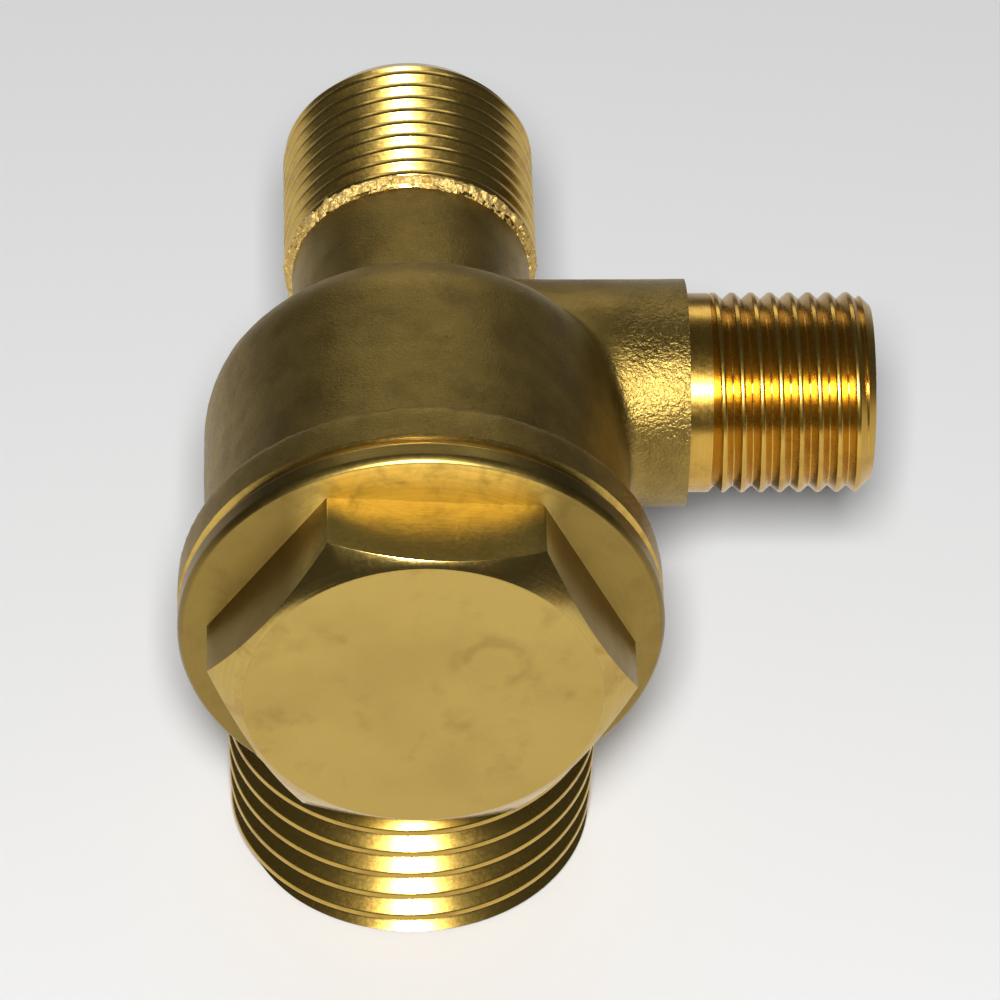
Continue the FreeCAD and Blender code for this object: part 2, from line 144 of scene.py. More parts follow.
class Bench:
    """Mesh work by Blender's own operators, on one active object at a time."""

    @staticmethod
    def pick(piece: Piece) -> None:
        """Selects one piece alone and makes it active.

        Args:
            piece: the piece.
        """
        bpy.ops.object.select_all(action="DESELECT")
        piece.select_set(True)
        bpy.context.view_layer.objects.active = piece

    @staticmethod
    def named(name: str) -> Piece:
        """Names the new active object and its mesh.

        Args:
            name: the name that both get.

        Returns:
            The object.
        """
        piece = bpy.context.active_object
        piece.name = name
        piece.data.name = name
        return piece

    @classmethod
    @contextmanager
    def edit(cls, piece: Piece) -> Iterator[None]:
        """Opens a piece in edit mode with all of it selected, and leaves edit mode afterwards.

        Args:
            piece: the piece.

        Returns:
            A context to work in.
        """
        cls.pick(piece)
        bpy.ops.object.mode_set(mode="EDIT")
        bpy.ops.mesh.select_all(action="SELECT")
        yield
        bpy.ops.object.mode_set(mode="OBJECT")

    @classmethod
    def outline(cls, name: str, points: Sequence[Point], closed: bool = False) -> Piece:
        """Draws an outline in the XZ plane by extruding one vertex from point to point.

        Args:
            name: the piece's name.
            points: the outline as (radius, height) pairs, in metres.
            closed: whether the last point is joined to the first.

        Returns:
            The object.
        """
        bpy.ops.object.select_all(action="DESELECT")
        bpy.ops.mesh.primitive_plane_add(size=MM, location=(0, 0, 0))
        piece = cls.named(name)
        before = points[0]
        with cls.edit(piece):
            bpy.ops.mesh.merge(type="CENTER")
            bpy.ops.transform.translate(value=(before[0], 0.0, before[1]))
            for after in [*points[1:], *points[: int(closed)]]:
                shift = (after[0] - before[0], 0.0, after[1] - before[1])
                bpy.ops.mesh.extrude_region_move(TRANSFORM_OT_translate={"value": shift})
                before = after
            bpy.ops.mesh.select_all(action="SELECT")
            bpy.ops.mesh.remove_doubles(threshold=NOTHING)
        return piece

    @classmethod
    def turned(
        cls, name: str, points: Sequence[Point], closed: bool = False, steps: int = ROUND
    ) -> Piece:
        """Turns an outline about the local Z axis into a closed solid.

        Args:
            name: the piece's name.
            points: (radius, height) pairs, from the axis back to the axis unless closed.
            closed: whether the outline is a ring's own closed section.
            steps: how many faces go round.

        Returns:
            The turned object.
        """
        piece = cls.outline(name, points, closed)
        with cls.edit(piece):
            bpy.ops.mesh.spin(steps=steps, angle=2 * math.pi, center=(0, 0, 0), axis=(0, 0, 1))
            cls.clean_in_edit()
        return piece

    @classmethod
    def screwed(
        cls, piece: Piece, turns: int, rise: float, steps: int, merge: bool
    ) -> None:
        """Sweeps an outline round the local Z axis while it climbs.

        Args:
            piece: the outline, which becomes the swept surface.
            turns: how many turns it makes.
            rise: how far it climbs in all.
            steps: how many faces go round in one turn.
            merge: whether points of neighbouring turns that meet are merged.
        """
        cls.modify(
            piece,
            "SCREW",
            axis="Z",
            angle=2 * math.pi * turns,
            screw_offset=rise,
            steps=steps * turns,
            render_steps=steps * turns,
            iterations=1,
            use_merge_vertices=merge,
            merge_threshold=TOUCHING,
        )

    @staticmethod
    def clean_in_edit() -> None:
        """Merges doubles and turns all faces outwards, in edit mode."""
        bpy.ops.mesh.select_all(action="SELECT")
        bpy.ops.mesh.remove_doubles(threshold=TOUCHING)
        bpy.ops.mesh.normals_make_consistent(inside=False)

    @classmethod
    def close(cls, piece: Piece) -> None:
        """Merges doubles, mends what merging tore open, and turns all faces outwards.

        Args:
            piece: the finished piece.
        """
        with cls.edit(piece):
            bpy.ops.mesh.remove_doubles(threshold=2 * NOTHING)
            bpy.ops.mesh.delete_loose()
            bpy.ops.mesh.select_all(action="DESELECT")
            bpy.ops.mesh.select_non_manifold(extend=False)
            bpy.ops.mesh.dissolve_verts()
            bpy.ops.mesh.select_all(action="SELECT")
            bpy.ops.mesh.delete_loose()
            bpy.ops.mesh.select_all(action="SELECT")
            bpy.ops.mesh.normals_make_consistent(inside=False)

    @classmethod
    def lay(cls, piece: Piece, origin: Vector, along: Along) -> Piece:
        """Moves a piece's mesh so that its local zero and Z axis lie at this place and direction.

        Args:
            piece: the object, still about its own zero.
            origin: where its zero goes.
            along: the direction that its local Z takes.

        Returns:
            The same object, with its own frame back at the origin.
        """
        cls.pick(piece)
        piece.rotation_euler = along.value
        piece.location = origin
        bpy.ops.object.transform_apply(location=True, rotation=True, scale=True)
        return piece

    @classmethod
    def modify(cls, piece: Piece, kind: str, **settings: object) -> None:
        """Adds a modifier and applies it at once.

        Args:
            piece: the piece.
            kind: the modifier's type.
            settings: its properties, by name.
        """
        cls.pick(piece)
        modifier = piece.modifiers.new(kind.title(), kind)
        for name, value in settings.items():
            setattr(modifier, name, value)
        bpy.ops.object.modifier_apply(modifier=modifier.name)

    @classmethod
    def coat(
        cls, piece: Piece, coats: Sequence[Coat], chosen: int
    ) -> Piece:
        """Gives a piece a row of materials and puts one of them on all its faces.

        Args:
            piece: the piece.
            coats: the row, the same one for all the parts of one piece.
            chosen: which of the row its faces get.

        Returns:
            The same piece.
        """
        piece.data.materials.clear()
        for coat in coats:
            piece.data.materials.append(coat)
        piece.active_material_index = chosen
        with cls.edit(piece):
            bpy.ops.object.material_slot_assign()
        return piece

    @classmethod
    def combine(
        cls, piece: Piece, tool: Piece, how: Join, solver: str = "MANIFOLD"
    ) -> None:
        """Adds, cuts or keeps with a tool piece, which is used up.

        Args:
            piece: the piece that changes.
            tool: the closed solid it meets, with the same row of materials.
            how: the boolean that is wanted.
            solver: which of Blender's solvers does it.
        """
        cls.modify(piece, "BOOLEAN", operation=how.value, solver=solver, object=tool)
        bpy.data.objects.remove(tool, do_unlink=True)

    @classmethod
    def roughen(cls, piece: Piece, name: str, size: float, depth: float) -> None:
        """Pushes a piece's surface in and out by smooth noise.

        Args:
            piece: the piece.
            name: the noise texture's name.
            size: how wide the bumps are.
            depth: the whole height from hollow to crest.
        """
        texture = bpy.data.textures.new(name, "CLOUDS")
        texture.noise_scale = size
        texture.noise_depth = 2
        cls.modify(
            piece,
            "DISPLACE",
            texture=texture,
            texture_coords="LOCAL",
            strength=depth,
            mid_level=0.5,
            direction="NORMAL",
        )

    @classmethod
    def trim(cls, piece: Piece, point: Vector, outward: Vector) -> None:
        """Cuts off what lies beyond a plane and closes the cut with a flat face.

        Args:
            piece: the piece.
            point: a point of the plane.
            outward: the plane's normal, towards what is cut off.
        """
        with cls.edit(piece):
            bpy.ops.mesh.bisect(
                plane_co=point, plane_no=outward, use_fill=True, clear_outer=True, threshold=NOTHING
            )
            cls.clean_in_edit()

    @classmethod
    def join(cls, piece: Piece, others: Iterable[Piece]) -> None:
        """Joins other objects into one piece, which stays active.

        Args:
            piece: the piece that takes them in.
            others: the objects that are used up.
        """
        cls.pick(piece)
        for other in others:
            other.select_set(True)
        bpy.ops.object.join()

    @classmethod
    def shade(cls, piece: Piece, degrees: float = 28.0) -> None:
        """Shades a piece smooth, with edges sharper than this angle left crisp."""
        cls.pick(piece)
        bpy.ops.object.shade_smooth_by_angle(angle=math.radians(degrees))


def arc(centre: Point, radius: float, start: float, stop: float, steps: int) -> list[Point]:
    """Gives points along an arc in an outline.

    Args:
        centre: the arc's centre, as (radius, height).
        radius: the arc's own radius.
        start: the first angle in degrees, from the radial direction towards height.
        stop: the last angle in degrees.
        steps: how many straight steps it is drawn with.

    Returns:
        The points, both ends included.
    """
    points = []
    for step in range(steps + 1):
        angle = math.radians(start + (stop - start) * step / steps)
        points.append((centre[0] + radius * math.cos(angle), centre[1] + radius * math.sin(angle)))
    return points


# === threads


@dataclass(frozen=True)
class Thread:
    """A right-handed male screw thread, cut on a rod about the local Z axis.

    Args:
        crest: crest radius at the first thread, in metres.
        pitch: distance from crest to crest.
        start: height where the threads begin.
        stop: height where they end.
        tip: radius of the end face, below the bevel.
        bevel: length of the bevel at the end.
        taper: loss of radius per length, towards the end.
        depth: depth of the threads as a share of the pitch.
        foot: radius at the start, where a 45 degree bevel rises to the crests.
        land: width of the flat on each crest as a share of the pitch.
        crest_round: radius of the crests' edges as a share of the pitch.
        root_round: the same in the roots.
    """

    crest: float
    pitch: float
    start: float
    stop: float
    tip: float
    bevel: float
    taper: float = 0.0
    depth: float = 0.42
    foot: Optional[float] = None
    land: float = 0.08
    crest_round: float = 0.11
    root_round: float = 0.07

    def tooth(self) -> list[Point]:
        """Draws one pitch of a thread form, its crests and roots rounded as by wear.

        Returns:
            Points as (drop, rise) pairs in shares of the pitch, from flank to flank.
        """
        behind = arc((-self.crest_round, -self.land / 2), self.crest_round, -60, 0, 3)
        ahead = arc((-self.crest_round, self.land / 2), self.crest_round, 0, 60, 3)
        root = arc((-self.depth + self.root_round, 0.5), -self.root_round, 60, -60, 4)
        return [(-radius, rise) for radius, rise in behind + ahead + root]

    def rod(self, name: str) -> Piece:
        """Makes the threaded rod by a screw sweep of its flank line, then trims and bevels it.

        Args:
            name: the object's name.

        Returns:
            A closed solid from start to stop, on the local Z axis.
        """
        # two turns to spare below the start and one past the end are trimmed off again
        turns = math.ceil((self.stop - self.start) / self.pitch) + 3
        low = self.start - 2 * self.pitch
        points: list[Point] = []
        for turn in range(turns):
            base = low + turn * self.pitch
            points += [
                (self.crest - self.pitch * drop, base + self.pitch * rise) for drop, rise in self.tooth()
            ]
        rod = Bench.outline(name, points)
        Bench.screwed(rod, 1, self.pitch, ROUND, merge=True)
        if self.taper:
            self.narrow(rod)
        Bench.trim(rod, Vector((0, 0, self.start)), Vector((0, 0, -1)))
        Bench.trim(rod, Vector((0, 0, self.stop)), Vector((0, 0, 1)))
        wide = self.crest * 1.2
        foot = self.foot or wide
        blank = Bench.turned(name + "_blank", [
            (0.0, self.start - self.pitch),
            (foot, self.start - self.pitch),
            (foot, self.start),
            (wide, self.start + wide - foot),
            (wide, self.stop - self.bevel * (wide - self.tip) / (self.crest - self.tip)),
            (self.tip, self.stop),
            (self.tip, self.stop + self.pitch),
            (0.0, self.stop + self.pitch),
        ])
        Bench.combine(rod, blank, Join.KEEP)
        return rod

    def narrow(self, rod: Piece) -> None:
        """Tapers the rod towards its far end, leaving its radius at the start as it is.

        Args:
            rod: the untapered rod.
        """
        Bench.pick(rod)
        rod.location = (0, 0, -self.start)
        bpy.ops.object.transform_apply(location=True, rotation=False, scale=False)
        heights = [vertex.co.z for vertex in rod.data.vertices]
        span = max(heights) - min(heights)
        Bench.modify(
            rod,
            "SIMPLE_DEFORM",
            deform_method="TAPER",
            deform_axis="Z",
            factor=-self.taper * span / self.crest,
        )
        rod.location = (0, 0, self.start)
        bpy.ops.object.transform_apply(location=True, rotation=False, scale=False)


# === shader recipes


class Wire:
    """A node socket that can be used in sums: each operator adds one Math node."""

    def __init__(self, recipe: "Recipe", socket: bpy.types.NodeSocket) -> None:
        """Keeps the recipe that the socket belongs to."""
        self.recipe = recipe
        self.socket = socket

    def _math(self, operation: str, *values: object) -> "Wire":
        """Adds a Math node of these values and returns its result."""
        return self.recipe.node("ShaderNodeMath", {"operation": operation}, dict(enumerate(values)))

    def __add__(self, other: object) -> "Wire":
        """Adds."""
        return self._math("ADD", self, other)

    def __radd__(self, other: object) -> "Wire":
        """Adds, from the right."""
        return self._math("ADD", other, self)

    def __sub__(self, other: object) -> "Wire":
        """Subtracts."""
        return self._math("SUBTRACT", self, other)

    def __rsub__(self, other: object) -> "Wire":
        """Subtracts this from a value."""
        return self._math("SUBTRACT", other, self)

    def __mul__(self, other: object) -> "Wire":
        """Multiplies."""
        return self._math("MULTIPLY", self, other)

    def __rmul__(self, other: object) -> "Wire":
        """Multiplies, from the right."""
        return self._math("MULTIPLY", other, self)

    def power(self, exponent: float) -> "Wire":
        """Raises to a power."""
        return self._math("POWER", self, exponent)

    def clamp(self) -> "Wire":
        """Holds the value between 0 and 1."""
        return self.recipe.node("ShaderNodeClamp", {}, {0: self})


class Recipe:
    """One material's node tree, with the few kinds of node that the finishes share."""

    def __init__(self, name: str) -> None:
        """Starts an empty node material.

        Args:
            name: the material's name.
        """
        self.material = bpy.data.materials.new(name)
        self.material.use_nodes = True
        self.tree = self.material.node_tree
        self.tree.nodes.clear()

    def node(self, kind: str, settings: dict, values: dict, output: object = 0) -> Wire:
        """Adds a node.

        Args:
            kind: the node's type.
            settings: properties that are set first.
            values: numbers, colours or wires for its inputs, by name or place.
            output: the output that is wanted, by name or place.

        Returns:
            That output, as a wire.
        """
        made = self.tree.nodes.new(kind)
        for name, value in settings.items():
            setattr(made, name, value)
        for name, value in values.items():
            self.feed(made.inputs[name], value)
        return Wire(self, made.outputs[output])

    def feed(self, socket: bpy.types.NodeSocket, value: object) -> None:
        """Links a wire to a socket, or sets the socket's own value.

        Args:
            socket: the input.
            value: a wire, a number, a vector or a colour.
        """
        if isinstance(value, Wire):
            self.tree.links.new(value.socket, socket)
        else:
            socket.default_value = value

    def place(self) -> Wire:
        """Returns the point on the object, in metres."""
        return self.node("ShaderNodeTexCoord", {}, {}, "Object")

    def stretched(self, factors: Sequence[float]) -> Wire:
        """Returns the object's coordinates, scaled along each axis."""
        values = {"Vector": self.place(), "Scale": tuple(factors)}
        return self.node("ShaderNodeMapping", {"vector_type": "POINT"}, values)

    def split(self, vector: Wire) -> list[Wire]:
        """Takes a vector apart.

        Args:
            vector: the vector.

        Returns:
            Its three parts.
        """
        parts = self.tree.nodes.new("ShaderNodeSeparateXYZ")
        self.feed(parts.inputs[0], vector)
        return [Wire(self, output) for output in parts.outputs]

    def noise(
        self,
        size: float,
        detail: float = 3.0,
        rough: float = 0.55,
        where: Optional[Wire] = None,
        distort: float = 0.0,
    ) -> Wire:
        """Adds smooth noise.

        Args:
            size: how wide its blotches are, in metres.
            detail: how many finer layers it has.
            rough: how strong the finer layers are.
            where: the place it is read at, or else the point on the object.
            distort: how much it is swirled.

        Returns:
            Values about 0.5.
        """
        values = {
            "Vector": where or self.place(),
            "Scale": 1.0 / size,
            "Detail": detail,
            "Roughness": rough,
            "Distortion": distort,
        }
        return self.node("ShaderNodeTexNoise", {"noise_dimensions": "3D"}, values)

    def cells(self, size: float) -> Wire:
        """Returns the distance to the nearest of many scattered points, this far apart."""
        values = {"Vector": self.place(), "Scale": 1.0 / size}
        return self.node("ShaderNodeTexVoronoi", {"feature": "F1"}, values)

    def ramp(self, value: Wire, low: float, high: float, start: float = 0.0, stop: float = 1.0) -> Wire:
        """Maps a value from one range to another, smoothly and held at the ends."""
        values = {"Value": value, "From Min": low, "From Max": high, "To Min": start, "To Max": stop}
        return self.node("ShaderNodeMapRange", {"interpolation_type": "SMOOTHSTEP"}, values)

    def mix(self, share: object, first: object, second: object) -> Wire:
        """Mixes two colours; the numbers are the places of the node's colour sockets."""
        return self.node("ShaderNodeMix", {"data_type": "RGBA"}, {0: share, 6: first, 7: second}, 2)

    def bump(
        self, height: Wire, distance: float, strength: float = 1.0, below: Optional[Wire] = None
    ) -> Wire:
        """Turns a height into a bumped normal.

        Args:
            height: the height, between 0 and 1.
            distance: the whole height in metres.
            strength: how strongly it tells.
            below: a normal that it is laid over.

        Returns:
            The normal.
        """
        values = {"Height": height, "Distance": distance, "Strength": strength}
        if below is not None:
            values["Normal"] = below
        return self.node("ShaderNodeBump", {}, values)

    def surface(self, **values: object) -> Coat:
        """Closes the tree with a Principled shader of these inputs.

        Args:
            values: inputs by name, with underscores for spaces.

        Returns:
            The finished material.
        """
        shader = self.node(
            "ShaderNodeBsdfPrincipled", {}, {name.replace("_", " "): value for name, value in values.items()}
        )
        output = self.tree.nodes.new("ShaderNodeOutputMaterial")
        self.feed(output.inputs["Surface"], shader)
        return self.material


def rgba(colour: Colour) -> tuple[float, float, float, float]:
    """Returns a colour with full alpha."""
    return (*colour, 1.0)


@dataclass(frozen=True)
class ForgedBrass:
    """The tumbled skin of a hot forging: matt, grainy, dull olive, coarser out on the boss.

    Args:
        boss_start: X where the coarse skin begins.
    """

    boss_start: float = 10.0 * MM
    light: Colour = (0.345, 0.235, 0.058)
    dull: Colour = (0.245, 0.165, 0.041)
    speck: Colour = (0.13, 0.08, 0.02)

    def make(self) -> Coat:
        """Mixes the finish.

        Returns:
            The material.
        """
        recipe = Recipe("forged_brass")
        blotch = recipe.ramp(recipe.noise(2.6 * MM, 4.0, 0.6), 0.35, 0.68)
        grain = recipe.noise(0.13 * MM, 3.0, 0.7)
        coarse = recipe.noise(0.25 * MM, 3.0, 0.6)
        pits = recipe.ramp(recipe.cells(0.7 * MM), 0.04, 0.16)
        x, _, _ = recipe.split(recipe.place())
        boss = recipe.ramp(x, self.boss_start, self.boss_start + 2.2 * MM)
        colour = recipe.mix(blotch, rgba(self.light), rgba(self.dull))
        colour = recipe.mix(recipe.ramp(grain, 0.3, 0.75) * 0.35, colour, rgba(self.dull))
        colour = recipe.mix((1 - pits) * 0.35, colour, rgba(self.speck))
        height = grain * 0.3 + coarse * (0.2 + 0.85 * boss) + pits * 0.1
        return recipe.surface(
            Base_Color=colour,
            Metallic=1.0,
            Roughness=recipe.ramp(grain, 0.25, 0.8, 0.38, 0.54) - 0.1 * boss,
            Normal=recipe.bump(height, 0.075 * MM, 1.0),
        )


@dataclass(frozen=True)
class TornBrass:
    """Freshly torn brass: bright, coarse and sparkling."""

    def make(self) -> Coat:
        """Mixes the finish.

        Returns:
            The material.
        """
        recipe = Recipe("torn_brass")
        grain = recipe.noise(0.16 * MM, 3.0, 0.7)
        shade = recipe.ramp(recipe.noise(0.3 * MM, 2.0), 0.35, 0.65)
        colour = recipe.mix(shade, rgba((0.92, 0.68, 0.25)), rgba((0.70, 0.47, 0.14)))
        return recipe.surface(
            Base_Color=colour,
            Metallic=1.0,
            Roughness=recipe.ramp(grain, 0.2, 0.8, 0.38, 0.54),
            Normal=recipe.bump(grain, 0.09 * MM, 1.0),
        )


@dataclass(frozen=True)
class TurnedBrass:
    """Machined brass with fine tool marks round one axis.

    Args:
        name: the material's name.
        along: the axis that the work turned about.
        centre: a point on that axis.
        colour: the metal's own colour.
        stain_and_shade: the colour of its thin stains, and of the painted shade on its sides.
        gloss: roughness where it is cleanest.
        dull: roughness where it is stained.
        painted_side_shade: how strongly painted shade darkens it out at the left and right sides.
        rim: radius beyond which its colour is darkened, where it has such a rim.
        side_shade_start: how far out the painted shade on the sides begins.
        side_shade_end: how far out the painted shade is darkest.
        mark: spacing of the tool marks.
        depth: depth of the tool marks.
    """

    name: str
    along: Along
    centre: tuple[float, float, float]
    colour: Colour = (0.66, 0.43, 0.12)
    stain_and_shade: Colour = (0.36, 0.19, 0.04)
    gloss: float = 0.20
    dull: float = 0.27
    painted_side_shade: float = 0.0
    rim: Optional[float] = None
    side_shade_start: float = 5.2 * MM
    side_shade_end: float = 7.5 * MM
    mark: float = 0.11 * MM
    depth: float = 0.006 * MM

    def make(self) -> Coat:
        """Mixes the finish.

        Returns:
            The material.
        """
        recipe = Recipe(self.name)
        radius, rings = self.rings(recipe)
        stain = recipe.ramp(recipe.noise(1.9 * MM, 4.0, 0.62, distort=0.6), 0.42, 0.74)
        fine = recipe.noise(0.22 * MM, 3.0, 0.6)
        rough = recipe.ramp(stain * 0.3 + fine * 0.7, 0.2, 0.75, self.gloss, self.dull)
        colour = recipe.mix(stain * 0.55, rgba(self.colour), rgba(self.stain_and_shade))
        colour = recipe.mix(recipe.ramp(rings, 0.35, 0.7) * 0.22, colour, rgba(self.stain_and_shade))
        # painted shade: the colour darkens towards the stain colour out at the left and right sides, standing in
        # for the shade on the side faces
        if self.painted_side_shade:
            x, _, _ = recipe.split(recipe.place())
            out = recipe.ramp((x * x).power(0.5), self.side_shade_start, self.side_shade_end)
            colour = recipe.mix(out * self.painted_side_shade, colour, rgba(self.stain_and_shade))
        # the colour is darker on the rim, beyond this radius
        if self.rim is not None:
            rim_darkening = recipe.ramp(radius, self.rim, self.rim + 0.3 * MM)
            colour = recipe.mix(rim_darkening * 0.75, colour, rgba(self.stain_and_shade))
        normal = recipe.bump(rings, self.depth, 0.8)
        normal = recipe.bump(fine, 0.006 * MM, 0.5, normal)
        return recipe.surface(Base_Color=colour, Metallic=1.0, Roughness=rough, Normal=normal)

    def rings(self, recipe: Recipe) -> tuple[Wire, Wire]:
        """Draws the tool marks.

        Args:
            recipe: the material's recipe.

        Returns:
            The distance from the axis, and noise that forms rings because it changes across them.
        """
        spin = recipe.node(
            "ShaderNodeMapping",
            {"vector_type": "TEXTURE"},
            {"Vector": recipe.place(), "Location": self.centre, "Rotation": self.along.value},
        )
        x, y, z = recipe.split(spin)
        radius = (x * x + y * y).power(0.5)
        angle = recipe.node("ShaderNodeMath", {"operation": "ARCTAN2"}, {0: y, 1: x})
        where = recipe.node(
            "ShaderNodeCombineXYZ", {}, {0: radius, 1: z, 2: angle * (0.35 * self.mark)}
        )
        return radius, recipe.noise(self.mark, 3.0, 0.65, where)


@dataclass(frozen=True)
class CapFace:
    """The flat front of the cap: satin, tan, faintly blotched, with one faint ring stain.

    Args:
        stain_centre: the middle of the ring stain.
    """

    stain_centre: tuple[float, float, float]
    metal: Colour = (0.52, 0.365, 0.098)
    brown: Colour = (0.30, 0.18, 0.045)

    def make(self) -> Coat:
        """Mixes the finish.

        Returns:
            The material.
        """
        recipe = Recipe("cap_face_brass")
        wide = recipe.noise(7.0 * MM, 3.0, 0.5)
        spots = recipe.ramp(recipe.noise(2.3 * MM, 3.0, 0.55, distort=0.2), 0.54, 0.80)
        offset = recipe.node(
            "ShaderNodeVectorMath", {"operation": "SUBTRACT"}, {0: recipe.place(), 1: self.stain_centre}
        )
        wobble = recipe.noise(1.2 * MM, 3.0, 0.6)
        reach = recipe.node("ShaderNodeVectorMath", {"operation": "LENGTH"}, {0: offset}, "Value")
        reach = reach + wobble * (0.9 * MM) - 0.45 * MM
        ring = recipe.ramp(reach, 0.9 * MM, 1.5 * MM) * recipe.ramp(reach, 1.7 * MM, 2.6 * MM, 1.0, 0.0)
        ring = ring * recipe.ramp(recipe.noise(2.4 * MM, 2.0), 0.42, 0.62)
        grain = recipe.noise(0.11 * MM, 3.0, 0.7)
        share = (spots * 0.36 + ring * 0.36 + recipe.ramp(wide, 0.4, 0.75) * 0.25).clamp()
        colour = recipe.mix(share, rgba(self.metal), rgba(self.brown))
        return recipe.surface(
            Base_Color=colour,
            Metallic=1.0,
            Roughness=recipe.ramp(grain, 0.2, 0.8, 0.40, 0.52) + share * 0.08,
            Normal=recipe.bump(grain, 0.007 * MM, 0.7),
        )


@dataclass(frozen=True)
class Rubber:
    """Moulded nitrile rubber, nearly black with a faint bloom."""

    def make(self) -> Coat:
        """Mixes the finish.

        Returns:
            The material.
        """
        recipe = Recipe("nitrile_rubber")
        bloom = recipe.ramp(recipe.noise(1.1 * MM, 4.0), 0.4, 0.75)
        grain = recipe.noise(0.09 * MM, 2.0)
        colour = recipe.mix(bloom * 0.5, rgba((0.018, 0.018, 0.02)), rgba((0.05, 0.048, 0.045)))
        return recipe.surface(
            Base_Color=colour,
            Roughness=recipe.ramp(bloom, 0.0, 1.0, 0.38, 0.6),
            Normal=recipe.bump(grain, 0.006 * MM, 0.5),
        )


@dataclass(frozen=True)
class Stock:
    """Drawn or turned stock: two close tones under a fine grain of marks.

    Args:
        name: the material's name.
        tones: its two tones.
        haze: how wide the changes between them are.
        marks: size, detail and roughness of the grain.
        stretch: how the grain is drawn out along each axis.
        rough: least and greatest roughness.
        depth: depth of the marks.
        metallic: 1 for a metal.
    """

    name: str
    tones: tuple[Colour, Colour] = ((0.60, 0.60, 0.585), (0.46, 0.455, 0.44))
    haze: float = 1.3 * MM
    marks: tuple[float, float, float] = (0.07 * MM, 3.0, 0.7)
    stretch: tuple[float, float, float] = (1.0, 0.12, 1.0)
    rough: tuple[float, float] = (0.2, 0.36)
    depth: float = 0.003 * MM
    metallic: float = 1.0

    def make(self) -> Coat:
        """Mixes the finish.

        Returns:
            The material.
        """
        recipe = Recipe(self.name)
        marks = recipe.noise(*self.marks, recipe.stretched(self.stretch))
        colour = recipe.mix(recipe.noise(self.haze), rgba(self.tones[0]), rgba(self.tones[1]))
        return recipe.surface(
            Base_Color=colour,
            Metallic=self.metallic,
            Roughness=recipe.ramp(marks, 0.2, 0.8, *self.rough),
            Normal=recipe.bump(marks, self.depth, 0.5),
        )


# === the forged body


